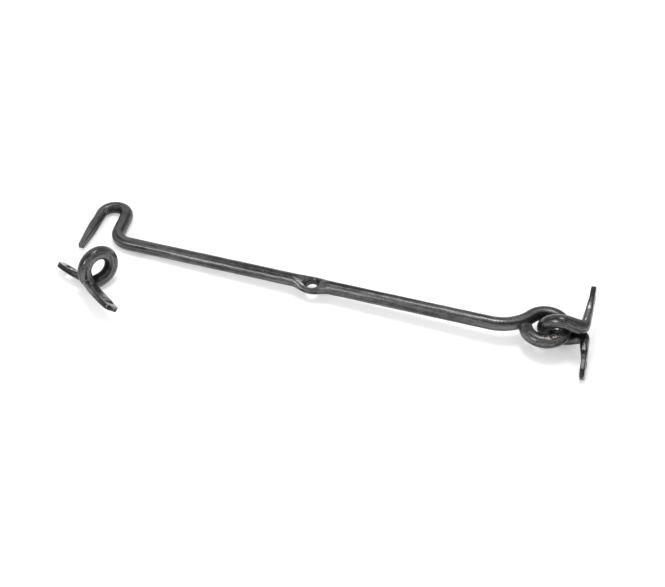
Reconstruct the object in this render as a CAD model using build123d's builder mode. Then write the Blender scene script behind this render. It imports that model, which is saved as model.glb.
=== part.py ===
from build123d import *
import os
from math import acos, atan2, cos, degrees, radians, sin, sqrt, tan

# Cabin hook: a forged hook arm linked to its pivot staple, with the keeper staple beside it.
# Millimetres, +Z up. All three lie on the ground plane Z = 0 with the bar of the arm along X,
# the hook end at -X. The origin is the centre of the set's footprint on the ground.

# Round bar that all three pieces are forged from
bar_d = 8.0
bar_r = bar_d / 2

# Hook arm, drawn in its own plane: x along the bar from the hook's corner, y to the hook's side
arm_place = (-135.43, 16.06, 4.08)
arm_pitch = 1.85
corner_bend_r = 9.7
neck_lean = 6.35
neck_length = 12.9
bow_r = 8.25
bow_turn = 176.0
bow_end_d = 6.4
point_length = 31.3
point_end_d = 4.6
point_end_flat = 3.3
point_end_round = 1.2
point_flat_start = 7.0
crank_start = 234.8
crank_r = 24.4
crank_turn = 58.8
eye_r = 11.2
eye_turn = 312.0
eye_end_round = 0.8

# Swell near the middle of the arm, hammered flat from above round a countersunk hole
swell_x = 127.5
swell_length = 24.0
swell_width = 13.8
swell_thick = 5.4
swell_hole_d = 7.0
swell_sink_d = 9.8

# Ears of both staples
ear_root_width = 8.6
ear_width = 10.0
ear_thick = 3.1
ear_corner_r = 4.2
ear_side_r = 12.0
ear_edge_r = 0.8
ear_back_edge = 0.4
ear_hole_d = 4.8
ear_sink_d = 7.0
ear_hole_from_tip = 8.7
root_lift = 0.3

# Pivot staple: a long loop whose two strands run side by side down to the ears
pivot_ring_r = 10.2
pivot_ring_height = 15.8
pivot_knee_y = 4.8
pivot_knee_height = 3.0
pivot_bend_r = 4.2
pivot_ear_reach = (28.4, 27.2)
pivot_ear_turn = (-7.7, 3.4)

# Keeper staple: a ring with its foot on the wall, its two ends turned out into the ears
keeper_ring_r = 9.25
keeper_ring_height = 13.45
keeper_knee_y = 2.7
keeper_knee_height = 3.0
keeper_bend_r = 4.4
keeper_ear_reach = (37.0, 27.8)
keeper_ear_turn = (9.0, 13.0)

# How the two staples lie: place of the ears' back face, then heading, rise and roll of the loop
pivot_place = (154.81, 23.11, 15.28)
pivot_angles = (184.3, -5.8, 18.4)
keeper_place = (-132.97, -25.78, 4.51)
keeper_angles = (67.5, 45.6, 10.2)


def ear_plate(start, reach):
    """Flat of an ear along +X, back face on Z = 0, wider round its countersunk screw hole."""
    root, wide = ear_root_width / 2, ear_width / 2
    hole_x = reach - ear_hole_from_tip
    with BuildPart() as plate:
        with BuildSketch() as outline:
            with BuildLine():
                Polyline(
                    (start, root), (start + 5, root), (hole_x - 2, wide), (reach, wide - 0.6),
                    (reach, 0.6 - wide), (hole_x - 2, -wide), (start + 5, -root), (start, -root),
                    close=True,
                )
            make_face()
            fillet(outline.vertices().group_by(Axis.X)[-1], ear_corner_r)
            waist = outline.vertices().group_by(Axis.X)
            fillet(waist[1] + waist[2], ear_side_r)
        extrude(amount=ear_thick)
        fillet(plate.edges().group_by(Axis.Z)[-1], ear_edge_r)
        chamfer(plate.edges().group_by(Axis.Z)[0], ear_back_edge)
        with Locations((hole_x, 0, ear_thick)):
            CounterSinkHole(ear_hole_d / 2, ear_sink_d / 2)
    return plate.part


def drawn_root(knee, fall, turn, reach, bend_r):
    """One end of the bar bent out at the knee and drawn down flat, fused to its ear plate.

    knee: where the strand's line meets the ear's line; fall: the strand's direction into it;
    turn: direction of the ear in the wall plane, degrees from +X.
    """
    out = Vector(cos(radians(turn)), sin(radians(turn)), 0)
    fall = fall.normalized()
    corner = degrees(acos(fall.dot(out)))
    cut = bend_r * tan(radians(corner) / 2)
    side = (out - fall * fall.dot(out)).normalized()
    begin = knee - fall * cut
    centre = begin + side * bend_r
    wall = Vector(0, 0, 1).cross(out)
    stations = []
    for share, across, thick in ((0.3, bar_d, bar_d), (0.5, 8.2, 7.5), (0.75, 8.6, 6.5), (1, 9.0, 5.4)):
        a = radians(corner * share)
        point = centre - side * (bend_r * cos(a)) + fall * (bend_r * sin(a))
        heading = fall * cos(a) + side * sin(a)
        stations.append((point, heading, across, thick, (share - 0.3) / 0.7))
    for along, across, thick in ((3.5, 8.8, 4.2), (7.5, 8.4, 3.2), (12, 7.8, 2.4)):
        stations.append((knee + out * (cut + along), out, across, thick, 1))
    with BuildPart() as root:
        with BuildSketch(Plane(origin=begin, z_dir=fall)):
            Circle(bar_r)
        revolve(axis=Axis(centre, fall.cross(side)), revolution_arc=corner * 0.3)
        for point, heading, across, thick, share in stations:
            level = max(thick + root_lift, ear_thick) / 2
            lift = Vector(0, 0, (level - knee.Z) * share**2)
            x_dir = wall - heading * wall.dot(heading)
            with BuildSketch(Plane(origin=point + lift, x_dir=x_dir, z_dir=heading)):
                if across == thick:
                    Circle(across / 2)
                else:
                    Ellipse(across / 2, thick / 2)
        loft()
        add(ear_plate(2, reach).moved(Plane(origin=(knee.X, knee.Y, 0), x_dir=out).location))
    return root.part, begin


def lying(place, angles):
    """Plane of the ears' backs for a staple on the ground: x along the ears, z along the loop."""
    heading, rise, roll = (radians(a) for a in angles)
    out = Vector(cos(heading) * cos(rise), sin(heading) * cos(rise), sin(rise))
    level = Vector(sin(heading), -cos(heading), 0)
    return Plane(origin=place, x_dir=level * cos(roll) + level.cross(out) * sin(roll), z_dir=out)


def standing_staple(ring_r, ring_height, knee_y, knee_z, reaches, turns, bend_r):
    """Whole staple standing on its ears' back faces, the loop in the YZ plane.

    The bar comes down from the ring along its tangents to the two knees and turns out there,
    the -Y end to the +X ear and the +Y end to the -X ear.
    """
    rise = ring_height - knee_z
    tangent = sqrt(rise**2 + knee_y**2 - ring_r**2)
    leave = atan2(tangent, ring_r) + atan2(knee_y, rise)
    leave_y = ring_r * sin(leave)
    leave_z = ring_height - ring_r * cos(leave)
    roots = []
    for end, reach, turn in zip((1, -1), reaches, turns):
        knee = Vector(0, -end * knee_y, knee_z)
        fall = Vector(0, end * cos(leave), -sin(leave))
        root, begin = drawn_root(knee, fall, 90 - end * 90 - end * turn, reach, bend_r)
        roots.append((root, begin, knee, fall))
    with BuildPart() as staple:
        with BuildSketch(Plane(origin=(0, leave_y, leave_z), z_dir=(0, cos(leave), sin(leave)))):
            Circle(bar_r)
        revolve(axis=Axis((0, 0, ring_height), (1, 0, 0)), revolution_arc=360 - 2 * degrees(leave))
        for root, begin, knee, fall in roots:
            with BuildSketch(Plane(origin=begin, z_dir=fall * -1)):
                Circle(bar_r)
            extrude(amount=(Vector(0, -leave_y if knee.Y < 0 else leave_y, leave_z) - begin).length)
            add(root)
    return staple.part


pivot_standing = standing_staple(
    pivot_ring_r, pivot_ring_height, pivot_knee_y, pivot_knee_height,
    pivot_ear_reach, pivot_ear_turn, pivot_bend_r,
)
keeper_standing = standing_staple(
    keeper_ring_r, keeper_ring_height, keeper_knee_y, keeper_knee_height,
    keeper_ear_reach, keeper_ear_turn, keeper_bend_r,
)

with BuildPart() as pivot_staple:
    add(pivot_standing.moved(lying(pivot_place, pivot_angles).location))

with BuildPart() as keeper_staple:
    add(keeper_standing.moved(lying(keeper_place, keeper_angles).location))


# Hook arm
pitch = radians(arm_pitch)
arm_plane = Plane(
    origin=arm_place,
    x_dir=(cos(pitch), 0, sin(pitch)),
    z_dir=(-sin(pitch), 0, cos(pitch)),
)
corner_turn = 90 - neck_lean
corner_cut = corner_bend_r * tan(radians(corner_turn) / 2)
swell_start = swell_x - swell_length / 2
swell_end = swell_x + swell_length / 2


def across_arm(x):
    """Plane square to the bar at x: its x to the hook's side, its y upward."""
    return Plane(
        origin=arm_plane.from_local_coords(Vector(x, 0, 0)),
        x_dir=arm_plane.y_dir,
        z_dir=arm_plane.x_dir,
    )


# Point of the hook, along +Z: a round taper with four hammered flats that run out into it
with BuildPart() as point:
    with BuildSketch(Plane(origin=(0, 0, 0), x_dir=(1, 1, 0), z_dir=(1, -1, 0))) as taper:
        with BuildLine():
            end_r = point_end_d / 2
            Polyline((0, 0), (bow_end_d / 2, 0), (end_r, point_length), (0, point_length), close=True)
        make_face()
        fillet(taper.vertices().group_by(Axis.Z)[-1].sort_by(Axis.X)[-1], point_end_round)
    revolve(axis=Axis.Z)
    start_r = bow_end_d / 2 - (bow_end_d - point_end_d) / 2 * point_flat_start / point_length
    lean = atan2(start_r - point_end_flat / 2, point_length - point_flat_start)
    for side in range(4):
        a = radians(90 * side)
        flat = Plane(
            origin=(start_r * cos(a), start_r * sin(a), point_flat_start),
            z_dir=(cos(lean) * cos(a), cos(lean) * sin(a), sin(lean)),
        )
        split(bisect_by=flat, keep=Keep.BOTTOM)

with BuildPart() as hook_arm:
    # Straight bar up to the swell, then from the swell through the crank and round the eye
    with BuildSketch(across_arm(corner_cut)):
        Circle(bar_r)
    extrude(amount=swell_start - corner_cut)
    with BuildLine(arm_plane) as eye_line:
        shaft = Line((swell_end, 0), (crank_start, 0))
        crank = JernArc(start=shaft @ 1, tangent=(1, 0), radius=crank_r, arc_size=crank_turn)
        eye = JernArc(start=crank @ 1, tangent=crank % 1, radius=eye_r, arc_size=-eye_turn)
    with BuildSketch(across_arm(swell_end)):
        Circle(bar_r)
    sweep(path=eye_line.wire())
    eye_end = hook_arm.faces().filter_by(GeomType.PLANE).sort_by_distance(eye @ 1)[0]
    fillet(eye_end.edges(), eye_end_round)
    # Swell
    half = swell_length / 2
    for reach, flat in ((1, 0), (0.9, 0), (0.5, 0.55), (0, 1), (-0.5, 0.55), (-0.9, 0), (-1, 0)):
        across = bar_d + (swell_width - bar_d) * flat
        thick = bar_d + (swell_thick - bar_d) * flat
        with BuildSketch(across_arm(swell_x - half * reach)):
            with Locations((0, (thick - bar_d) / 2)):
                if flat:
                    Ellipse(across / 2, thick / 2)
                else:
                    Circle(bar_r)
    loft()
    hole_plane = Plane(
        origin=arm_plane.from_local_coords(Vector(swell_x, 0, swell_thick - bar_r)),
        z_dir=arm_plane.z_dir,
    )
    with Locations(hole_plane.location):
        CounterSinkHole(swell_hole_d / 2, swell_sink_d / 2)
    # Corner and neck, then the bow of the hook, drawn down toward the point
    with BuildLine(arm_plane) as neck_line:
        corner = JernArc(start=(corner_cut, 0), tangent=(-1, 0), radius=corner_bend_r, arc_size=-corner_turn)
        neck = Line(corner @ 1, corner @ 1 + (corner % 1) * neck_length)
    with BuildSketch(across_arm(corner_cut)):
        Circle(bar_r)
    sweep(path=neck_line.wire())
    with BuildLine(arm_plane) as bow_line:
        bow = JernArc(start=neck @ 1, tangent=neck % 1, radius=bow_r, arc_size=bow_turn)
    with BuildSketch(Plane(origin=bow @ 0, z_dir=bow % 0)) as bow_root:
        Circle(bar_r)
    with BuildSketch(Plane(origin=bow @ 1, z_dir=bow % 1)) as bow_end:
        Circle(bow_end_d / 2)
    sweep(path=bow_line.wire(), multisection=True)
    point_plane = Plane(origin=bow @ 1, x_dir=arm_plane.z_dir, z_dir=bow % 1)
    add(point.part.moved(point_plane.location))

hook_arm.part.label = "hook_arm"
pivot_staple.part.label = "pivot_staple"
keeper_staple.part.label = "keeper_staple"
os.makedirs("parts", exist_ok=True)
export_step(hook_arm.part, "parts/hook_arm.step")
export_step(pivot_staple.part, "parts/pivot_staple.step")
export_step(keeper_staple.part, "parts/keeper_staple.step")
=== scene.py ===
"""Dressed model of the cabin hook: three blackened forgings on a pale floor."""

import logging
from collections.abc import Callable, Sequence
from dataclasses import astuple, dataclass, field
from enum import Enum
from math import acos, atan2, cos, degrees, pi, radians, sin, sqrt, tan

import bpy
import numpy as np
from mathutils import Matrix, Vector, kdtree, noise


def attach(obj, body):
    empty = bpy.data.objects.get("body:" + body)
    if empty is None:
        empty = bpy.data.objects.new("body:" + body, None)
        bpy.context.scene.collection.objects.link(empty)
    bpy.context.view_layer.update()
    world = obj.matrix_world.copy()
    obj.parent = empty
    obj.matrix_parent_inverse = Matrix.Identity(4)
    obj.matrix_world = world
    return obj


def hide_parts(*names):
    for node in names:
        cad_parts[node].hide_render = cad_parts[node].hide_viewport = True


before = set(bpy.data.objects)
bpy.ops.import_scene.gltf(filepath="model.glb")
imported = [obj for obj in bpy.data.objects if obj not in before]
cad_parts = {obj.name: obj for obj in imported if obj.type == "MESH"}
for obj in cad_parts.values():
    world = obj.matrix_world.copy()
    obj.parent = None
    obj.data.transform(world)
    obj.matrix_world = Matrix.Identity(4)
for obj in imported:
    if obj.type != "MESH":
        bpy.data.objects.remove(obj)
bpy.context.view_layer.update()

LOG = logging.getLogger("cabin_hook")
Colour = tuple[float, float, float, float]
Rows = tuple[tuple[float, ...], ...]

MM = 0.001
BAR_RADIUS = 4.0
ROUND = 2.0
UP = Vector((0, 0, 1))
WHITE = (1, 1, 1, 1)

# Layers stored on the points of every forging: the place on the unbent bar, and 1 on a drawn
# wide face to -1 on a narrow side, which sets where faces are painted lit and sides shaded.
UNBENT = "unbent_bar"
FLAT = "drawn_flat"

# Places closer than this count as one, in millimetres.
SAME_PLACE = 1e-3
# Sections that follow a rounded tip, and how far from the tip the last one stays.
TIP_STEPS = 14
TIP_GAP = 0.004
# Share of a spot's radius over which its mark is full.
SPOT_CORE = 0.5
# Edges bent more than this, in degrees, are shaded sharp.
SHARP_ANGLE = 38


class Mark(Enum):
    """Marks stored on a forging's points: wear, handling, and shade painted into sheltered
    places.
    """

    WORN = "worn_bare"
    # Shade painted near black into sheltered places and between the pieces.
    PAINTED_SHADE = "painted_shade_gap"
    GLOSS = "handled_smooth"


@dataclass(frozen=True)
class Spot:
    """A round place in the frame where a mark is strongest, in millimetres."""

    centre: Vector
    radius: float
    strength: float = 1.0


@dataclass(frozen=True)
class Section:
    """One cross-section of a forged bar, in millimetres.

    across and thick are full sizes; square runs from 2, round, to 8, flat with soft corners;
    drop moves the section's centre along its thin direction.
    """

    across: float
    thick: float
    square: float = ROUND
    drop: float = 0.0

    def rim(self, turn: float) -> tuple[float, float, float]:
        """One point of the outline.

        Args:
            turn: angle round the section, from its wide direction.

        Returns:
            Its place along the wide and the thin direction, and how far it faces sideways,
            from 0 on a wide face to 1 on a narrow side.
        """
        c, s = cos(turn), sin(turn)
        power = ROUND / self.square
        x = self.across / 2 * abs(c) ** power * (1 if c >= 0 else -1)
        y = self.thick / 2 * abs(s) ** power * (1 if s >= 0 else -1)
        sideways = abs(c) ** (2 - power) / self.across
        flatways = abs(s) ** (2 - power) / self.thick
        return x, y, sideways**2 / (sideways**2 + flatways**2)


ROUND_BAR = Section(2 * BAR_RADIUS, 2 * BAR_RADIUS)


def plain_section(place: float) -> Section:
    """Plain round bar, the same at every place."""
    return ROUND_BAR


def round_section(size: float) -> Section:
    """Round bar of another size."""
    return Section(size, size)


def clamped(share: float) -> float:
    """The nearest number from 0 to 1."""
    return min(max(share, 0.0), 1.0)


def eased(share: "float | np.ndarray") -> "float | np.ndarray":
    """A share from 0 to 1 that starts and ends slowly."""
    return share * share * (3 - 2 * share)


def arc(radius: float, turn: float) -> float:
    """Length of a bend that turns through an angle in degrees."""
    return radius * radians(turn)


def level(angle: float) -> Vector:
    """Unit vector in a working plane, at an angle in radians."""
    return Vector((cos(angle), sin(angle), 0))


def right_of(angle: float) -> Vector:
    """Unit vector in a working plane, to the right of a heading in radians."""
    return Vector((sin(angle), -cos(angle), 0))


def blend_table(table: list[tuple[float, Section]], at: float) -> Section:
    """Section at a place between the ones that a table names.

    Args:
        table: pairs of a place and its section, places rising.
        at: the place wanted.

    Returns:
        The blended section.
    """
    places = [place for place, _ in table]
    sizes = zip(*(astuple(section) for _, section in table))
    return Section(*(float(np.interp(at, places, size)) for size in sizes))


def dome(room: float, radius: float) -> float:
    """How much a rounded end has drawn in on each side, with some room left to its tip."""
    inward = radius - min(room, radius)
    return radius - sqrt(max(radius**2 - inward**2, 0.0))


def spaced(start: float, end: float, step: float) -> list[float]:
    """Even places about a step apart, from start to end, both included."""
    count = max(int(abs(end - start) / step + 0.5), 1)
    return [start + (end - start) * i / count for i in range(count + 1)]


def tip_places(radius: float) -> list[float]:
    """Rising distances from a rounded tip that follow its curve closely."""
    return [radius * (1 - cos(pi / 2 * i / TIP_STEPS)) + TIP_GAP for i in range(TIP_STEPS + 1)]


def linked(name: str, data: bpy.types.ID) -> bpy.types.Object:
    """Puts an object in the scene.

    Args:
        name: its name.
        data: its mesh, lamp or camera.

    Returns:
        The object.
    """
    item = bpy.data.objects.new(name, data)
    bpy.context.scene.collection.objects.link(item)
    return item


def store(mesh: bpy.types.Mesh, name: str, values: Sequence, kind: str = "FLOAT") -> None:
    """Stores a number, or a vector of kind FLOAT_VECTOR, on each point of a mesh."""
    layer = mesh.attributes.get(name) or mesh.attributes.new(name, kind, "POINT")
    layer.data.foreach_set("vector" if kind == "FLOAT_VECTOR" else "value", np.ravel(values))


def point_places(mesh: bpy.types.Mesh) -> np.ndarray:
    """Places of a mesh's points.

    Args:
        mesh: the mesh.

    Returns:
        One row of three numbers for each point.
    """
    places = np.zeros(len(mesh.vertices) * 3)
    mesh.vertices.foreach_get("co", places)
    return places.reshape(-1, 3)


def tube(name: str, points: list[Vector], around: int) -> bpy.types.Mesh:
    """Closed mesh over rings of points.

    Args:
        name: name of the mesh.
        points: the points, ring after ring.
        around: number of points in a ring.

    Returns:
        The mesh.
    """
    steps = [(i, (i + 1) % around) for i in range(around)]
    last = len(points) - around
    faces = [
        (low + i, low + j, low + around + j, low + around + i)
        for low in range(0, last, around)
        for i, j in steps
    ]
    faces += [tuple(range(around))[::-1], tuple(range(last, len(points)))]
    mesh = bpy.data.meshes.new(name)
    mesh.from_pydata(points, [], faces)
    return mesh


def settle(piece: bpy.types.Object, seat: Matrix) -> None:
    """Moves a piece into the frame, in metres, and smooths its shading.

    Args:
        piece: the forging, in millimetres in its own space.
        seat: that space in the frame, in millimetres.
    """
    piece.data.transform(Matrix.Scale(MM, 4) @ seat)
    piece.data.shade_smooth()
    piece.data.set_sharp_from_angle(angle=radians(SHARP_ANGLE))


def stain(piece: bpy.types.Object, mark: Mark, spots: list[Spot]) -> None:
    """Stores on a piece's points how strong a mark is there, from 0 to 1.

    Args:
        piece: the forging, in place.
        mark: the mark, added to what is stored already.
        spots: where it is strongest.
    """
    mesh = piece.data
    places = point_places(mesh) / MM
    strength = np.zeros(len(places))
    layer = mesh.attributes.get(mark.value)
    if layer is not None:
        layer.data.foreach_get("value", strength)
    for spot in spots:
        away = np.linalg.norm(places - np.array(spot.centre), axis=1)
        share = np.clip((1 - away / spot.radius) / (1 - SPOT_CORE), 0, 1)
        strength = np.maximum(strength, eased(share) * spot.strength)
    store(mesh, mark.value, strength)


def paint_shade_between(
    piece: bpy.types.Object, other: bpy.types.Object, near: float, far: float
) -> None:
    """Stores on a piece's points painted shade, by how closely they face another piece.

    Args:
        piece: the forging to mark.
        other: the forging linked with it.
        near: distance at which the mark is full, in millimetres.
        far: distance at which it ends.
    """
    tree = kdtree.KDTree(len(other.data.vertices))
    for vertex in other.data.vertices:
        tree.insert(vertex.co, vertex.index)
    tree.balance()
    gaps = [tree.find(vertex.co)[2] / MM for vertex in piece.data.vertices]
    shares = [eased(clamped((far - gap) / (far - near))) for gap in gaps]
    store(piece.data, Mark.PAINTED_SHADE.value, shares)


@dataclass
class BarLine:
    """Centre line of a bar as it is forged, with the section at each place."""

    points: list[Vector] = field(default_factory=list)
    headings: list[Vector] = field(default_factory=list)
    sections: list[Section] = field(default_factory=list)

    def add(self, point: Vector, heading: Vector, section: Section) -> None:
        """Adds one place on the line.

        Args:
            point: centre of the section, in millimetres.
            heading: direction of the bar there.
            section: its cross-section.
        """
        if self.points and (point - self.points[-1]).length < SAME_PLACE:
            return
        self.points.append(point.copy())
        self.headings.append(heading.normalized())
        self.sections.append(section)

    def reversed(self) -> "BarLine":
        """The same line walked the other way."""
        headings = [-heading for heading in self.headings[::-1]]
        return BarLine(self.points[::-1], headings, self.sections[::-1])

    def joined(self, other: "BarLine") -> "BarLine":
        """This line followed by another.

        Args:
            other: the line that goes on where this one ends.

        Returns:
            The joined line.
        """
        line = BarLine(list(self.points), list(self.headings), list(self.sections))
        for point, heading, section in zip(other.points, other.headings, other.sections):
            line.add(point, heading, section)
        return line

    def lengths(self) -> np.ndarray:
        """Distance along the line at each place."""
        steps = [(b - a).length for a, b in zip(self.points, self.points[1:])]
        return np.concatenate([[0.0], np.cumsum(steps)])


@dataclass
class ForgedBar:
    """A bar swept along its line and gently uneven from the hammer, in millimetres.

    The wide direction runs from first_wide to last_wide, and turns between two shares of the
    length. fine_size and fine_depth are shares of the hammer's, for the smaller marks.
    Sections squarer than flat_from count as flats, fully so after flat_span.
    """

    name: str
    line: BarLine
    first_wide: Vector
    last_wide: Vector
    twist_between: tuple[float, float]
    around: int
    hammer_depth: float = 0.09
    hammer_size: float = 7.0
    fine_size: float = 0.4
    fine_depth: float = 0.3
    flat_from: float = 5.0
    flat_span: float = 2.6

    def frames(self) -> list[tuple[Vector, Vector]]:
        """Wide and thin directions of every section.

        Returns:
            One pair of unit vectors for each place on the line.
        """
        line = self.line
        wide = self.first_wide - line.headings[0] * self.first_wide.dot(line.headings[0])
        wides = [wide.normalized()]
        for before, after in zip(line.headings, line.headings[1:]):
            turned = before.rotation_difference(after) @ wides[-1]
            wides.append((turned - after * turned.dot(after)).normalized())
        heading = line.headings[-1]
        goal = (self.last_wide - heading * self.last_wide.dot(heading)).normalized()
        twist = atan2(wides[-1].cross(goal).dot(heading), wides[-1].dot(goal))
        if abs(twist) > pi / 2:
            twist -= pi if twist > 0 else -pi
        along = line.lengths()
        start, end = (share * along[-1] for share in self.twist_between)
        pairs = []
        for wide, heading, place in zip(wides, line.headings, along):
            share = clamped((place - start) / (end - start))
            wide = Matrix.Rotation(twist * share, 3, heading) @ wide
            pairs.append((wide, heading.cross(wide)))
        return pairs

    def beat(self, section: Section, x: float, y: float, place: float) -> tuple[float, float]:
        """Moves a point of a section's outline in or out, as hammer blows leave it.

        Args:
            section: the section.
            x: the point's place along the wide direction.
            y: its place along the thin direction.
            place: its distance along the bar.

        Returns:
            Its new x and y.
        """
        seat = Vector((x, y, place))
        out = Vector((x / section.across, y / section.thick, 0)).normalized()
        blow = noise.noise(seat / self.hammer_size) * self.hammer_depth
        fine = noise.noise(seat / (self.hammer_size * self.fine_size))
        blow += fine * self.hammer_depth * self.fine_depth
        return x + out.x * blow, y + out.y * blow

    def skin(self) -> tuple[list[Vector], list[tuple[float, float, float]], list[float]]:
        """Points of the surface, section by section.

        Returns:
            The points, and what UNBENT and FLAT hold for each.
        """
        points, unbent, flats = [], [], []
        turns = [2 * pi * step / self.around for step in range(self.around)]
        for centre, place, section, (wide, thin) in zip(
            self.line.points, self.line.lengths(), self.line.sections, self.frames()
        ):
            squareness = clamped((section.square - self.flat_from) / self.flat_span)
            for turn in turns:
                x, y, side = section.rim(turn)
                x, y = self.beat(section, x, y, place)
                points.append(centre + wide * x + thin * (y + section.drop))
                unbent.append((x, y, place))
                flats.append(squareness * (1 - 2 * side))
        return points, unbent, flats

    def build(self) -> bpy.types.Object:
        """Makes the mesh, with its unbent place and its flats stored on its points.

        Returns:
            The new object, linked to the scene.
        """
        points, unbent, flats = self.skin()
        mesh = tube(self.name, points, self.around)
        store(mesh, UNBENT, unbent, "FLOAT_VECTOR")
        store(mesh, FLAT, flats)
        return linked(self.name, mesh)


@dataclass(frozen=True)
class SunkHole:
    """A drilled hole with a countersunk mouth whose lip is worn soft, in millimetres.

    throat and rim are points of the hole's wall, outward and upward from the countersink's
    foot and from its mouth, in lip widths.
    """

    centre: Vector
    axis: Vector
    radius: float
    mouth: float
    depth: float = 8.0
    lip: float = 0.35
    throat: Rows = ((0.0, -0.4), (0.25, 0.1))
    rim: Rows = ((-0.6, -0.6), (0.1, -0.12), (1.2, 0.35), (3.0, 2.0))
    around: int = 56

    def profile(self) -> list[tuple[float, float]]:
        """The hole's wall, from far below the mouth to just above it.

        Returns:
            Pairs of radius and height.
        """
        sink = self.mouth - self.radius
        lip = self.lip
        throat = [(self.radius + lip * out, lip * up - sink) for out, up in self.throat]
        rim = [(self.mouth + lip * out, lip * up) for out, up in self.rim]
        return [(self.radius, -self.depth), *throat, *rim]

    def cutter(self, name: str) -> bpy.types.Object:
        """Solid with the hole's shape.

        Args:
            name: name of the object.

        Returns:
            The cutter, linked to the scene.
        """
        turned = UP.rotation_difference(self.axis).to_matrix()
        points = []
        for radius, height in self.profile():
            for step in range(self.around):
                a = 2 * pi * step / self.around
                spot = turned @ Vector((radius * cos(a), radius * sin(a), height))
                points.append(self.centre + spot)
        mesh = tube(name, points, self.around)
        store(mesh, UNBENT, point_places(mesh), "FLOAT_VECTOR")
        store(mesh, FLAT, np.zeros(len(points)))
        return linked(name, mesh)

    def drill(self, piece: bpy.types.Object) -> None:
        """Cuts the hole out of a piece.

        Args:
            piece: the forging, in millimetres.
        """
        cutter = self.cutter(piece.name + "_drill")
        cut = piece.modifiers.new("drill", "BOOLEAN")
        cut.object = cutter
        cut.solver = "EXACT"
        bpy.context.view_layer.update()
        ready = piece.evaluated_get(bpy.context.evaluated_depsgraph_get())
        drilled = bpy.data.meshes.new_from_object(ready)
        piece.modifiers.clear()
        old = piece.data
        piece.data = drilled
        bpy.data.meshes.remove(old)
        bpy.data.objects.remove(cutter)


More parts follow.
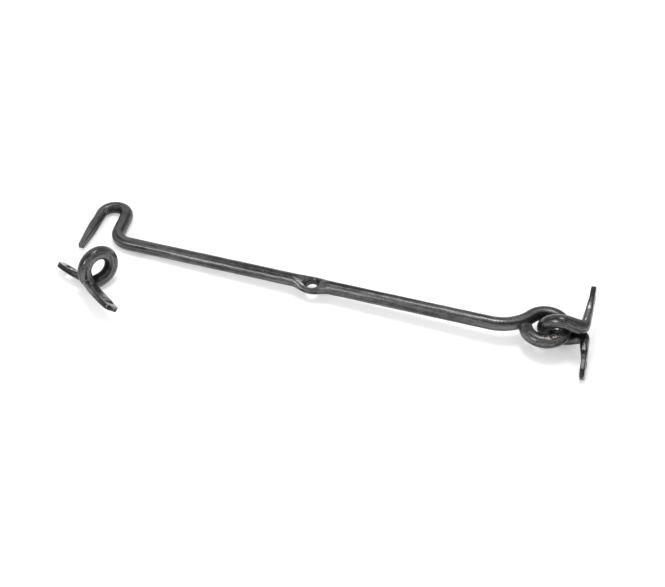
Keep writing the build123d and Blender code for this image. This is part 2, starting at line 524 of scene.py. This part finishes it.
@dataclass
class HookArm:
    """The arm: hook, neck, bar with its pierced swell, crank and eye.

    Sizes in millimetres and angles in degrees. Its own space has the bar along X, its corner
    at the origin and the hook on the +Y side.
    """

    place: Vector = field(default_factory=lambda: Vector((-135.43, 16.06, 4.08)))
    pitch: float = 1.85
    corner_bend_r: float = 9.7
    neck_lean: float = 6.35
    neck_length: float = 12.9
    bow_r: float = 8.25
    bow_turn: float = 176.0
    bow_end_r: float = 3.2
    point_length: float = 31.3
    point_end_r: float = 2.3
    point_end_flat: float = 1.65
    point_end_round: float = 1.2
    point_end_room: float = 0.15
    point_flat_start: float = 7.0
    point_squareness: float = 4.0
    point_flat_gain: float = 2.2
    crank_start: float = 234.8
    crank_r: float = 24.4
    crank_turn: float = 58.8
    eye_r: float = 11.2
    eye_turn: float = 312.0
    eye_end_round: float = 0.8
    swell_x: float = 127.5
    swell_half: float = 11.4
    swell_fall: float = 1.7
    swell_width: float = 13.8
    swell_thick: float = 5.4
    hole_r: float = 3.5
    hole_mouth: float = 4.9
    step: float = 0.8
    around: int = 56
    twist_between: tuple[float, float] = (0.2, 0.8)
    # Spots of painted shade inside the eye and, fainter, inside the bow.
    eye_shade_r: float = 12.0
    bow_shade_r: float = 9.0
    bow_shade: float = 0.65
    bow_shade_down: tuple[float, ...] = (0, 6, 12)
    nick_r: float = 2.6
    nick_side: float = 0.85
    nick_along: float = 1.0
    nick_up: float = 0.6
    rub_r: float = 5.0
    rub_turns: tuple[float, ...] = (-66, -52, -38)
    rub_inward: float = 0.5
    rub_up: float = 0.85
    gloss_r: float = 44.0
    gloss: float = 0.8

    def seat(self) -> Matrix:
        """Turns the arm's own space into the frame's.

        Returns:
            The matrix.
        """
        tilt = radians(self.pitch)
        along = Vector((cos(tilt), 0, sin(tilt)))
        up = Vector((-sin(tilt), 0, cos(tilt)))
        turn = Matrix((along, up.cross(along), up)).transposed().to_4x4()
        return Matrix.Translation(self.place) @ turn

    def walk(
        self, line: BarLine, start: Vector, angle: float, length: float, radius: float,
        section_at: Callable[[float], Section],
    ) -> tuple[Vector, float]:
        """Walks a straight or curved stretch in the arm's plane.

        Args:
            line: the line to add to.
            start: where the stretch begins.
            angle: its heading there, in degrees from X.
            length: its length.
            radius: radius of the bend, positive to the left, or 0 for straight.
            section_at: gives the section at a distance along it.

        Returns:
            Its end and the heading there.
        """
        a = radians(angle)
        for place in spaced(0.0, length, self.step):
            turned = a + (place / radius if radius else 0.0)
            heading = level(turned)
            spot = start + heading * place
            if radius:
                spot = start + radius * Vector((sin(turned) - sin(a), cos(a) - cos(turned), 0))
            line.add(spot, heading, section_at(place))
        return spot, degrees(turned)

    def corner_cut(self) -> float:
        """Distance from the corner to where its bend begins."""
        return self.corner_bend_r * tan(radians(90 - self.neck_lean) / 2)

    def shaft_section(self, place: float) -> Section:
        """Section of the straight bar, flattened and widened over the swell.

        Args:
            place: distance from the end of the corner's bend.

        Returns:
            The section.
        """
        share = abs(self.corner_cut() + place - self.swell_x) / self.swell_half
        flat = (1 - share**2) ** self.swell_fall if share < 1 else 0.0
        across = 2 * BAR_RADIUS + (self.swell_width - 2 * BAR_RADIUS) * flat
        thick = 2 * BAR_RADIUS + (self.swell_thick - 2 * BAR_RADIUS) * flat
        return Section(across, thick, drop=(thick - 2 * BAR_RADIUS) / 2)

    def bow_section(self, place: float) -> Section:
        """Section at a distance along the bow, drawn down toward the point."""
        drawn = 2 * (BAR_RADIUS - self.bow_end_r) * place / arc(self.bow_r, self.bow_turn)
        return round_section(2 * BAR_RADIUS - drawn)

    def point_section(self, place: float) -> Section:
        """Section of the hook's point: four hammered flats that start some way along it.

        Args:
            place: distance from the bow.

        Returns:
            The section.
        """
        room = self.point_length - place + self.point_end_room
        draw = dome(room, self.point_end_round)
        drawn = self.bow_end_r - self.point_end_r
        start = self.point_flat_start
        half = self.bow_end_r - drawn * (place / self.point_length)
        flat = max(place - start, 0) / (self.point_length - start)
        if flat:
            start_r = self.bow_end_r - drawn * start / self.point_length
            half = start_r + (self.point_end_flat - start_r) * flat
        size = 2 * (half - draw)
        squareness = self.point_squareness * min(flat * self.point_flat_gain, 1.0)
        return Section(size, size, ROUND + squareness)

    def eye_section(self, place: float) -> Section:
        """Section at a distance along the eye, its cut end slightly rounded."""
        room = arc(self.eye_r, self.eye_turn) - place
        return round_section(2 * (BAR_RADIUS - dome(room, self.eye_end_round)))

    def hook_line(self) -> BarLine:
        """Line from the corner's bend over the neck and the bow to the point's tip.

        Returns:
            The line.
        """
        line = BarLine()
        start = Vector((self.corner_cut(), 0, 0))
        bend = arc(self.corner_bend_r, 90 - self.neck_lean)
        spot, angle = self.walk(line, start, 180, bend, -self.corner_bend_r, plain_section)
        spot, angle = self.walk(line, spot, angle, self.neck_length, 0, plain_section)
        bow = arc(self.bow_r, self.bow_turn)
        spot, angle = self.walk(line, spot, angle, bow, self.bow_r, self.bow_section)
        heading = level(radians(angle))
        body = spaced(0, self.point_length - self.point_end_round, self.step)
        tip = [self.point_length - p for p in tip_places(self.point_end_round)][::-1]
        for place in body + tip[1:]:
            line.add(spot + heading * place, heading, self.point_section(place))
        return line

    def shank_line(self) -> BarLine:
        """Line from the corner's bend along the bar and round the crank to the eye's end.

        Returns:
            The line.
        """
        line = BarLine()
        start = Vector((self.corner_cut(), 0, 0))
        shaft = self.crank_start - self.corner_cut()
        spot, angle = self.walk(line, start, 0, shaft, 0, self.shaft_section)
        crank = arc(self.crank_r, self.crank_turn)
        spot, angle = self.walk(line, spot, angle, crank, self.crank_r, plain_section)
        length = arc(self.eye_r, self.eye_turn)
        spot, angle = self.walk(
            line, spot, angle, length - self.eye_end_round, -self.eye_r, self.eye_section
        )
        turned = radians(angle)
        centre = spot + self.eye_r * right_of(turned)
        for room in tip_places(self.eye_end_round)[::-1]:
            a = turned - (self.eye_end_round - room) / self.eye_r
            end = centre - self.eye_r * right_of(a)
            line.add(end, level(a), self.eye_section(length - room))
        return line

    def eye_centre(self) -> Vector:
        """Centre of the eye in the arm's own space.

        Returns:
            The place.
        """
        crank = radians(self.crank_turn)
        centre = Vector((self.crank_start, 0, 0))
        centre += self.crank_r * Vector((sin(crank), 1 - cos(crank), 0))
        return centre + self.eye_r * right_of(crank)

    def bow_centre(self) -> Vector:
        """Centre of the bow in the arm's own space.

        Returns:
            The place.
        """
        turn = radians(90 - self.neck_lean)
        heading = Vector((-cos(turn), sin(turn), 0))
        bend = self.corner_bend_r * Vector((-sin(turn), 1 - cos(turn), 0))
        neck_end = Vector((self.corner_cut(), 0, 0)) + bend + heading * self.neck_length
        return neck_end + self.bow_r * Vector((-heading.y, heading.x, 0))

    def painted_shade_spots(self) -> list[Spot]:
        """Sheltered places where shade is painted near black.

        Returns:
            The inside of the eye, and more faintly the inside of the bow.
        """
        seat, bow = self.seat(), self.bow_centre()
        centres = [seat @ (bow - Vector((0, down, 0))) for down in self.bow_shade_down]
        in_bow = [Spot(centre, self.bow_shade_r, self.bow_shade) for centre in centres]
        return [Spot(seat @ self.eye_centre(), self.eye_shade_r), *in_bow]

    def gloss_spots(self) -> list[Spot]:
        """Where the staple has smoothed the arm: round the eye."""
        return [Spot(self.seat() @ self.eye_centre(), self.gloss_r, self.gloss)]

    def worn_spots(self) -> list[Spot]:
        """Bare places.

        Returns:
            A nick inside the bow's end, and the top of the eye's front, where the loop of the
            staple has rubbed it.
        """
        seat, centre = self.seat(), self.eye_centre()
        side = BAR_RADIUS * self.nick_side - self.bow_r
        nick = self.bow_centre() + Vector((side, self.nick_along, self.nick_up))
        spots = [Spot(seat @ nick, self.nick_r)]
        for turn in self.rub_turns:
            out = level(radians(turn))
            on_top = (self.rub_up * UP - self.rub_inward * out) * BAR_RADIUS
            spots.append(Spot(seat @ (centre + self.eye_r * out + on_top), self.rub_r))
        return spots

    def build(self) -> bpy.types.Object:
        """Makes the arm in place.

        Returns:
            The arm.
        """
        line = self.hook_line().reversed().joined(self.shank_line())
        wides = UP.cross(line.headings[0]), UP.cross(line.headings[-1])
        name = "hook_arm_forging"
        piece = ForgedBar(name, line, *wides, self.twist_between, self.around).build()
        top = Vector((self.swell_x, 0, self.swell_thick - BAR_RADIUS))
        SunkHole(top, UP, self.hole_r, self.hole_mouth).drill(piece)
        settle(piece, self.seat())
        return piece

    def mark(self, piece: bpy.types.Object) -> None:
        """Stores the traces of use and the painted shade on the arm.

        Args:
            piece: the arm, in place.
        """
        stain(piece, Mark.PAINTED_SHADE, self.painted_shade_spots())
        stain(piece, Mark.WORN, self.worn_spots())
        stain(piece, Mark.GLOSS, self.gloss_spots())


@dataclass
class Staple:
    """A staple: a loop of bar whose two ends are turned out and drawn down to flat ears.

    Sizes in millimetres and angles in degrees, standing on the ears' backs with the loop in
    the YZ plane. In the tables of sizes each row is a place, a width, a thickness and a
    squareness. Places are shares of the bend in bend_sizes, distances past the bend in
    root_sizes and distances from the hole's centre in plate_sizes. The first lifted rows of
    root_sizes lie root_lift higher.
    """

    name: str
    ring_r: float
    ring_height: float
    knee_y: float
    ear_reach: tuple[float, float]
    ear_turn: tuple[float, float]
    place: Vector
    heading: float
    rise: float
    roll: float
    bend_r: float
    knee_height: float = 3.0
    root_lift: float = 0.3
    ear_thick: float = 3.1
    tip_width: float = 8.8
    plate_squareness: float = 8.0
    corner_r: float = 4.2
    edge_r: float = 1.4
    edge_room: float = 0.1
    hole_r: float = 2.4
    hole_mouth: float = 3.5
    hole_from_tip: float = 8.7
    step: float = 0.55
    around: int = 52
    twist_between: tuple[float, float] = (0.38, 0.62)
    bend_start: float = 0.3
    bend_sizes: Rows = ((0.5, 8.2, 7.5, 2.0), (0.75, 8.6, 6.5, 2.0), (1.0, 9.0, 5.4, 2.1))
    root_sizes: Rows = ((0.0, 9.0, 5.4, 2.1), (3.5, 8.8, 4.9, 2.8), (7.0, 8.6, 4.3, 5.0))
    lifted: int = 2
    plate_sizes: Rows = ((-4.5, 9.6, 3.7, 7.0), (-1.0, 9.95, 3.2, 8.0))
    # Spots of painted shade between the strands and inside the ring.
    gap_heights: tuple[float, ...] = (1.0, 4.0, 7.0)
    gap_shade_r: float = 5.5
    ring_shade_room: float = 0.3
    gloss_r: float = 90.0

    def seat(self) -> Matrix:
        """Turns the standing staple into how it lies in the frame.

        Returns:
            The matrix.
        """
        a, e, r = radians(self.heading), radians(self.rise), radians(self.roll)
        out = Vector((cos(a) * cos(e), sin(a) * cos(e), sin(e)))
        ears = right_of(a) * cos(r) + right_of(a).cross(out) * sin(r)
        turn = Matrix((ears, out.cross(ears), out)).transposed().to_4x4()
        return Matrix.Translation(self.place) @ turn

    def leave(self) -> float:
        """Where the strands leave the ring.

        Returns:
            The angle from the ring's foot.
        """
        rise = self.ring_height - self.knee_height
        tangent = sqrt(rise**2 + self.knee_y**2 - self.ring_r**2)
        return atan2(tangent, self.ring_r) + atan2(self.knee_y, rise)

    def ring_point(self, angle: float) -> Vector:
        """Point on the ring at an angle from its foot."""
        height = self.ring_height - self.ring_r * cos(angle)
        return Vector((0, -self.ring_r * sin(angle), height))

    def ear_direction(self, end: int) -> Vector:
        """Direction of an ear in the wall plane; end is 1 or -1."""
        turn = self.ear_turn[0] if end > 0 else self.ear_turn[1]
        return level(radians(90 - end * 90 - end * turn))

    def ear_sections(self, cut: float, reach: float) -> list[tuple[float, Section]]:
        """Sections of an ear from the bend's end to the tip.

        Args:
            cut: distance from the knee to the bend's end.
            reach: distance from the knee to the tip.

        Returns:
            Pairs of a distance from the knee and the section there.
        """
        hole = reach - self.hole_from_tip
        rows = [(cut + at, *sizes) for at, *sizes in self.root_sizes]
        rows += [(hole + at, *sizes) for at, *sizes in self.plate_sizes]
        rows.append((reach, self.tip_width, self.ear_thick, self.plate_squareness))
        lifts = [self.root_lift] * self.lifted + [0.0] * (len(rows) - self.lifted)
        return [
            (at, Section(wide, thick, square, (thick + lift) / 2))
            for (at, wide, thick, square), lift in zip(rows, lifts)
        ]

    def add_bend(self, line: BarLine, begin: Vector, fall: Vector, out: Vector) -> None:
        """Adds the bend in which the bar is drawn down to the ear's root.

        Args:
            line: the line to add to.
            begin: where the bend starts.
            fall: heading of the strand.
            out: direction of the ear.
        """
        corner = acos(fall.dot(out))
        side = (out - fall * fall.dot(out)).normalized()
        centre = begin + side * self.bend_r
        table = [(self.bend_start, ROUND_BAR)]
        table += [(at, Section(*sizes)) for at, *sizes in self.bend_sizes]
        for share in spaced(0, 1, self.step / (self.bend_r * corner)):
            a = corner * share
            spot = centre - side * (self.bend_r * cos(a)) + fall * (self.bend_r * sin(a))
            section = blend_table(table, share)
            height = (section.thick + self.root_lift) / 2
            sunk = (max(share - self.bend_start, 0) / (1 - self.bend_start)) ** 2
            spot += Vector((0, 0, (height - self.knee_height) * sunk))
            line.add(spot, fall * cos(a) + side * sin(a), section)

    def add_ear(
        self, line: BarLine, knee: Vector, out: Vector, cut: float, reach: float
    ) -> None:
        """Adds an ear, from the bend's end to its rounded tip.

        Args:
            line: the line to add to.
            knee: where the strand and the ear would meet without the bend.
            out: direction of the ear.
            cut: distance from the knee to the bend's end.
            reach: distance from the knee to the tip.
        """
        table = self.ear_sections(cut, reach)
        body = spaced(cut, reach - self.corner_r, self.step)
        tip = [reach - p for p in tip_places(self.corner_r)][::-1]
        for place in body + tip[1:]:
            section = blend_table(table, place)
            across = section.across - 2 * dome(reach - place, self.corner_r)
            thick = section.thick - 2 * dome(reach - place + self.edge_room, self.edge_r)
            spot = Vector((knee.x, knee.y, section.drop)) + out * place
            line.add(spot, out, Section(across, thick, section.square))

    def end_line(self, end: int) -> BarLine:
        """Line of one end of the bar, from the ring down its strand and on to the ear's tip.

        Args:
            end: 1 for the end on the -Y side, -1 for the other.

        Returns:
            The line, starting where the strand leaves the ring.
        """
        line = BarLine()
        leave = self.leave()
        knee = Vector((0, -end * self.knee_y, self.knee_height))
        fall = Vector((0, end * cos(leave), -sin(leave)))
        out = self.ear_direction(end)
        cut = self.bend_r * tan(acos(fall.dot(out)) / 2)
        begin = knee - fall * cut
        ring_end = self.ring_point(end * leave)
        for place in spaced(0, (begin - ring_end).length, self.step):
            line.add(ring_end + fall * place, fall, ROUND_BAR)
        self.add_bend(line, begin, fall, out)
        self.add_ear(line, knee, out, cut, self.ear_reach[0 if end > 0 else 1])
        return line

    def line(self) -> BarLine:
        """Line of the whole staple, from one ear's tip over the ring to the other's.

        Returns:
            The line.
        """
        leave = self.leave()
        ring = BarLine()
        for angle in spaced(leave, 2 * pi - leave, self.step / self.ring_r):
            heading = Vector((0, -cos(angle), sin(angle)))
            ring.add(self.ring_point(angle), heading, ROUND_BAR)
        return self.end_line(1).reversed().joined(ring).joined(self.end_line(-1))

    def painted_shade_spots(self) -> list[Spot]:
        """Sheltered places where shade is painted near black.

        Returns:
            Where the two strands run close side by side, and the inside of the ring.
        """
        seat = self.seat()
        centre = seat @ Vector((0, 0, self.ring_height))
        spots = [Spot(seat @ Vector((0, 0, h)), self.gap_shade_r) for h in self.gap_heights]
        return spots + [Spot(centre, self.ring_r + self.ring_shade_room)]

    def gloss_spots(self) -> list[Spot]:
        """A staple is handled all over."""
        return [Spot(self.seat() @ Vector((0, 0, self.ring_height)), self.gloss_r)]

    def build(self) -> bpy.types.Object:
        """Makes the staple in place.

        Returns:
            The staple.
        """
        wides = [UP.cross(self.ear_direction(end)) for end in (1, -1)]
        line = self.line()
        piece = ForgedBar(self.name, line, *wides, self.twist_between, self.around).build()
        for end, reach in zip((1, -1), self.ear_reach):
            foot = Vector((0, -end * self.knee_y, self.ear_thick))
            centre = foot + self.ear_direction(end) * (reach - self.hole_from_tip)
            SunkHole(centre, UP, self.hole_r, self.hole_mouth).drill(piece)
        settle(piece, self.seat())
        return piece

    def mark(self, piece: bpy.types.Object) -> None:
        """Stores the traces of use and the painted shade on the staple."""
        stain(piece, Mark.PAINTED_SHADE, self.painted_shade_spots())
        stain(piece, Mark.GLOSS, self.gloss_spots())


class Shade:
    """A shader socket that does sums: Python operators on it add Math nodes."""

    def __init__(self, bench: "NodeBench", socket: bpy.types.NodeSocket) -> None:
        """Wraps an output socket of a node on the bench."""
        self.bench = bench
        self.socket = socket

    def _sum(self, kind: str, *values: "Shade | float") -> "Shade":
        """Result of a Math node of a kind, with the values as its inputs."""
        return self.bench.node("Math", {"operation": kind}, dict(enumerate(values)))

    def __add__(self, other: "Shade | float") -> "Shade":
        """This plus other."""
        return self._sum("ADD", self, other)

    __radd__ = __add__

    def __sub__(self, other: "Shade | float") -> "Shade":
        """This less other."""
        return self._sum("SUBTRACT", self, other)

    def __rsub__(self, other: float) -> "Shade":
        """Other less this."""
        return self._sum("SUBTRACT", other, self)

    def __mul__(self, other: "Shade | float") -> "Shade":
        """This times other."""
        return self._sum("MULTIPLY", self, other)

    __rmul__ = __mul__

    def ramp(self, low: float, high: float) -> "Shade":
        """Soft step from 0 to 1.

        Args:
            low: where it starts.
            high: where it ends.

        Returns:
            The step.
        """
        return self.bench.node(
            "MapRange",
            {"interpolation_type": "SMOOTHSTEP", "clamp": True},
            {"Value": self, "From Min": low, "From Max": high, "To Min": 0.0, "To Max": 1.0},
        )


@dataclass(frozen=True)
class Grain:
    """A layer of noise on the unbent bar.

    stretch holds factors on its three directions, size is that of the largest spots in
    millimetres, and detail is the number of finer layers.
    """

    stretch: tuple[float, float, float]
    size: float
    detail: int
    roughness: float = 0.55


class NodeBench:
    """Builds the nodes of one material or world."""

    def __init__(self, owner: "bpy.types.Material | bpy.types.World") -> None:
        """Clears the owner's tree to start from nothing.

        Args:
            owner: what the nodes are for.
        """
        owner.use_nodes = True
        self.tree = owner.node_tree
        self.tree.nodes.clear()

    def node(
        self, kind: str, settings: dict[str, object], inputs: dict[object, object],
        output: "int | str" = 0,
    ) -> "Shade | None":
        """Adds a node.

        Args:
            kind: Blender's name of the node type, without ShaderNode before it.
            settings: the node's own settings, set first.
            inputs: value or Shade for each input, by name or number.
            output: name or number of the output wanted.

        Returns:
            The wrapped output, or None for a node that has none.
        """
        node = self.tree.nodes.new("ShaderNode" + kind)
        for name, value in settings.items():
            setattr(node, name, value)
        for name, value in inputs.items():
            if isinstance(value, Shade):
                self.tree.links.new(value.socket, node.inputs[name])
            else:
                node.inputs[name].default_value = value
        return Shade(self, node.outputs[output]) if node.outputs else None

    def stored(self, name: str, output: str = "Fac") -> Shade:
        """What a layer stores on the points, as a number or, with output Vector, a vector."""
        return self.node("Attribute", {"attribute_name": name}, {}, output)

    def mix(self, share: "Shade | float", a: object, b: object) -> Shade:
        """Colour between a, at a share of 0, and b, at a share of 1."""
        return self.node("Mix", {"data_type": "RGBA"}, {0: share, 6: a, 7: b}, 2)

    def noise(self, place: Shade, grain: Grain) -> Shade:
        """Noise over a stretched place.

        Args:
            place: coordinates in millimetres.
            grain: the layer wanted.

        Returns:
            The noise, from 0 to 1.
        """
        stretch = {0: place, 1: grain.stretch}
        settings = {
            "Vector": self.node("VectorMath", {"operation": "MULTIPLY"}, stretch),
            "Scale": 1.0 / grain.size,
            "Detail": grain.detail,
            "Roughness": grain.roughness,
        }
        return self.node("TexNoise", {}, settings)


@dataclass(frozen=True)
class BlackenedForging:
    """Hammered steel, blackened and waxed to a half gloss, rubbed bright where pieces meet,
    with shade painted near black into sheltered places, wide faces painted lighter as painted
    light and narrow sides painted darker as painted shade.

    The scale is mottled, streaked along the bar and pitted. tone and height hold the shares
    of the three, in that order. Pairs named range are where a soft step starts and ends, and
    bump_depth is in metres.
    """

    dark: Colour = (0.030, 0.030, 0.030, 1)
    light: Colour = (0.165, 0.165, 0.165, 1)
    # Narrow sides painted darker, as painted shade.
    side: Colour = (0.022, 0.022, 0.022, 1)
    # Wide faces painted lighter, as painted light; also the colour of the random bright
    # specks.
    face: Colour = (0.340, 0.338, 0.340, 1)
    rubbed: Colour = (0.56, 0.52, 0.47, 1)
    # Painted shade, near black, for sheltered places and between the pieces.
    painted_shade: Colour = (0.004, 0.004, 0.004, 1)
    roughness: float = 0.32
    metallic: float = 0.8
    specular: float = 0.25
    mottle: Grain = Grain((1, 1, 0.6), 3.2, 4)
    streak: Grain = Grain((1, 1, 0.035), 1.7, 3)
    pit: Grain = Grain((1, 1, 1), 0.8, 3)
    grit: Grain = Grain((1, 1, 1), 1.1, 2)
    tone: tuple[float, float, float] = (0.2, 0.6, 0.2)
    height: tuple[float, float, float] = (0.2, 1.1, 0.15)
    tone_range: tuple[float, float] = (0.36, 0.64)
    speck_range: tuple[float, float] = (0.62, 0.74)
    grit_range: tuple[float, float] = (0.46, 0.60)
    shaded_side_range: tuple[float, float] = (0.0, 0.8)
    lit_face_range: tuple[float, float] = (0.1, 0.9)
    specks: float = 0.35
    shaded_side_share: float = 0.75
    lit_face_share: float = 0.35
    lit_face_tone: float = 0.5
    painted_shade_share: float = 0.95
    gloss_pits: float = 0.2
    gloss_polish: float = 0.07
    mottle_rough: float = 0.18
    worn_rough: float = 0.15
    painted_shade_rough: float = 0.3
    bump: float = 0.35
    bump_depth: float = 0.0005

    def material(self, name: str) -> bpy.types.Material:
        """Makes the material.

        Args:
            name: its name.

        Returns:
            The new material.
        """
        material = bpy.data.materials.new(name)
        bench = NodeBench(material)
        place, flat = bench.stored(UNBENT, "Vector"), bench.stored(FLAT)
        worn, painted_shade, gloss = (bench.stored(mark.value) for mark in Mark)
        grains = (self.mottle, self.streak, self.pit, self.grit)
        mottle, streak, pit, grit = (bench.noise(place, grain) for grain in grains)
        by_mottle, by_streak, by_pit = self.tone
        tone = mottle * by_mottle + streak * by_streak + pit * by_pit
        tone = (tone + (pit - 0.5) * gloss * self.gloss_pits).ramp(*self.tone_range)
        bare = worn * grit.ramp(*self.grit_range)
        # Narrow sides get painted shade and wide faces get painted light.
        narrow = (flat * -1.0).ramp(*self.shaded_side_range) * self.shaded_side_share
        wide = flat.ramp(*self.lit_face_range) * (tone * self.lit_face_tone + self.lit_face_share)
        colour = bench.mix(tone, self.dark, self.light)
        colour = bench.mix(narrow, colour, self.side)
        colour = bench.mix(wide, colour, self.face)
        # Random bright specks, in the same lighter colour as the wide faces.
        colour = bench.mix(pit.ramp(*self.speck_range) * self.specks, colour, self.face)
        colour = bench.mix(bare, colour, self.rubbed)
        # Painted shade in sheltered places and between the pieces.
        colour = bench.mix(painted_shade * self.painted_shade_share, colour, self.painted_shade)
        rough = (mottle - 0.5) * self.mottle_rough + self.roughness - gloss * self.gloss_polish
        rough = rough + bare * self.worn_rough + painted_shade * self.painted_shade_rough
        by_mottle, by_streak, by_pit = self.height
        height = mottle * by_mottle + streak * by_streak + pit * by_pit
        bump = bench.node(
            "Bump", {},
            {"Strength": self.bump, "Distance": self.bump_depth, "Height": height},
        )
        shader = bench.node(
            "BsdfPrincipled", {},
            {"Base Color": colour, "Metallic": self.metallic, "Roughness": rough,
             "Specular IOR Level": self.specular, "Normal": bump},
        )
        bench.node("OutputMaterial", {}, {"Surface": shader})
        return material


@dataclass(frozen=True)
class PaleFloor:
    """Matt white that glows a little in what the camera sees, so that shadows stay pale."""

    colour: Colour = (0.95, 0.95, 0.95, 1)
    glow: float = 0.29

    def material(self, name: str) -> bpy.types.Material:
        """Makes the material.

        Args:
            name: its name.

        Returns:
            The new material.
        """
        material = bpy.data.materials.new(name)
        bench = NodeBench(material)
        camera, glossy, through = (
            bench.node("LightPath", {}, {}, f"Is {kind} Ray")
            for kind in ("Camera", "Glossy", "Transmission")
        )
        seen = (camera + glossy + through) * self.glow
        paint = bench.node("BsdfDiffuse", {}, {"Color": self.colour})
        glow = bench.node("Emission", {}, {"Color": WHITE, "Strength": seen})
        both = bench.node("AddShader", {}, {0: paint, 1: glow})
        bench.node("OutputMaterial", {}, {"Surface": both})
        return material


@dataclass(frozen=True)
class Softbox:
    """A square soft lamp: where it hangs, its side, in metres, and its power in watts."""

    name: str
    spot: tuple[float, float, float]
    size: float
    power: float

    def hang(self, target: Vector) -> None:
        """Adds the lamp.

        Args:
            target: the place that it faces.
        """
        data = bpy.data.lights.new(self.name, "AREA")
        data.size = self.size
        data.energy = self.power
        lamp = linked(self.name, data)
        lamp.location = self.spot
        lamp.rotation_euler = (target - lamp.location).to_track_quat("-Z", "Y").to_euler()


@dataclass
class Studio:
    """Pale floor and soft light round the set, in metres."""

    floor_size: float = 3.0
    floor_drop: float = 0.0001
    floor_finish: PaleFloor = PaleFloor()
    world_strength: float = 0.72
    lit: Vector = field(default_factory=lambda: Vector((0, 0.01, 0)))
    softboxes: tuple[Softbox, ...] = (
        Softbox("overhead_softbox", spot=(-0.02, 0.13, 0.88), size=0.22, power=2.25),
        Softbox("front_softbox", spot=(-0.37, -0.65, 0.54), size=0.20, power=1.6),
    )

    def floor(self) -> None:
        """Makes the floor, just under the lowest point of the set."""
        half = self.floor_size / 2
        mesh = bpy.data.meshes.new("floor")
        corners = [(-half, -half, 0), (half, -half, 0), (half, half, 0), (-half, half, 0)]
        mesh.from_pydata(corners, [], [(0, 1, 2, 3)])
        mesh.materials.append(self.floor_finish.material("pale_floor"))
        floor = linked("floor", mesh)
        floor.location.z = -self.floor_drop

    def light(self) -> None:
        """Sets the world, which the camera sees as white, and hangs the lamps."""
        world = bpy.data.worlds.new("studio")
        bpy.context.scene.world = world
        bench = NodeBench(world)
        seen = bench.node("LightPath", {}, {}, "Is Camera Ray")
        strength = seen * (1 - self.world_strength) + self.world_strength
        sky = bench.node("Background", {}, {"Color": WHITE, "Strength": strength})
        bench.node("OutputWorld", {}, {"Surface": sky})
        for softbox in self.softboxes:
            softbox.hang(self.lit)


@dataclass
class PhotoCamera:
    """The camera at the photograph's angle.

    target and distance in metres, angles in degrees, focal length and width in pixels, and
    the sensor's width in millimetres.
    """

    target: Vector = field(default_factory=lambda: Vector((3.42, 19.99, 0.15)) * MM)
    elevation: float = 45.006
    azimuth: float = 19.006
    focal_px: float = 1394.4
    width_px: int = 665
    sensor: float = 36.0
    distance: float = 0.8222
    clip_start: float = 0.01

    def build(self) -> None:
        """Adds the camera and makes it the scene's."""
        data = bpy.data.cameras.new("camera")
        data.sensor_width = self.sensor
        data.lens = self.focal_px / self.width_px * data.sensor_width
        data.clip_start = self.clip_start
        camera = linked("camera", data)
        e, a = radians(self.elevation), radians(self.azimuth)
        away = Vector((sin(a) * cos(e), -cos(a) * cos(e), sin(e)))
        camera.location = self.target + away * self.distance
        camera.rotation_euler = (pi / 2 - e, 0, a)
        bpy.context.scene.camera = camera


def pivot_staple() -> Staple:
    """The staple that is linked through the arm's eye.

    Returns:
        Its sizes and place.
    """
    return Staple(
        name="pivot_staple_forging", ring_r=10.2, ring_height=15.8, knee_y=4.8, bend_r=4.2,
        ear_reach=(28.4, 27.2), ear_turn=(-7.7, 3.4),
        place=Vector((154.81, 23.11, 15.28)), heading=184.3, rise=-5.8, roll=18.4,
    )


def keeper_staple() -> Staple:
    """The loose staple that the hook's point drops into.

    Returns:
        Its sizes and place.
    """
    return Staple(
        name="keeper_staple_forging", ring_r=9.25, ring_height=13.45, knee_y=2.7, bend_r=4.4,
        ear_reach=(37.0, 27.8), ear_turn=(9.0, 13.0),
        place=Vector((-132.97, -25.78, 4.51)), heading=67.5, rise=45.6, roll=10.2,
    )


def main() -> None:
    """Builds the scene: the three forgings, the studio and the camera."""
    logging.basicConfig(level=logging.INFO)
    bpy.context.scene.view_settings.view_transform = "Standard"
    finish = BlackenedForging().material("blackened_forging")
    work = [
        (HookArm(), "hook_arm", "arm"),
        (pivot_staple(), "pivot_staple", "pivot"),
        (keeper_staple(), "keeper_staple", "arm"),
    ]
    pieces = [maker.build() for maker, _, _ in work]
    arm, pivot, _ = pieces
    # Painted shade where the arm's eye and the pivot staple's loop face each other.
    paint_shade_between(arm, pivot, near=1.2, far=6.0)
    paint_shade_between(pivot, arm, near=1.2, far=5.0)
    for piece, (maker, node, body) in zip(pieces, work):
        maker.mark(piece)
        piece.data.materials.clear()
        piece.data.materials.append(finish)
        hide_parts(node)
        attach(piece, body)
        LOG.info("%s: %d faces, rides on %s", piece.name, len(piece.data.polygons), body)
    studio = Studio()
    studio.floor()
    studio.light()
    PhotoCamera().build()


if __name__ == "__main__":
    main()
